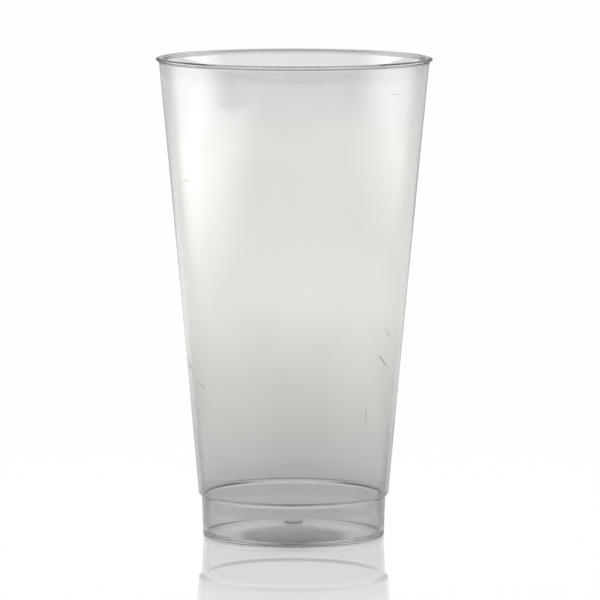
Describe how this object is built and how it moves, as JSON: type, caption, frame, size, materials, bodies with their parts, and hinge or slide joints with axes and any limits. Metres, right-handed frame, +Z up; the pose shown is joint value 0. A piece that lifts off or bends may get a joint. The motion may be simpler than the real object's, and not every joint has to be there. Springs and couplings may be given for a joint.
{
  "type": "plastic tumbler",
  "caption": "Tall clear moulded drinking tumbler with a smooth tapered wall, an outward lip and a stepped stacking base with a domed floor.",
  "frame": {"origin": "centre of the foot ring, on the plane that the tumbler stands on", "axes": "+Z up along the tumbler's axis, from the foot to the mouth; X and Y are alike, because the tumbler is round"},
  "size_m": [0.084, 0.084, 0.146],
  "materials": {
    "clear_plastic": "clear, glossy, with fine handling scuffs"
  },
  "bodies": {
    "root": {"tumbler": "clear_plastic"}
  },
  "joints": []
}
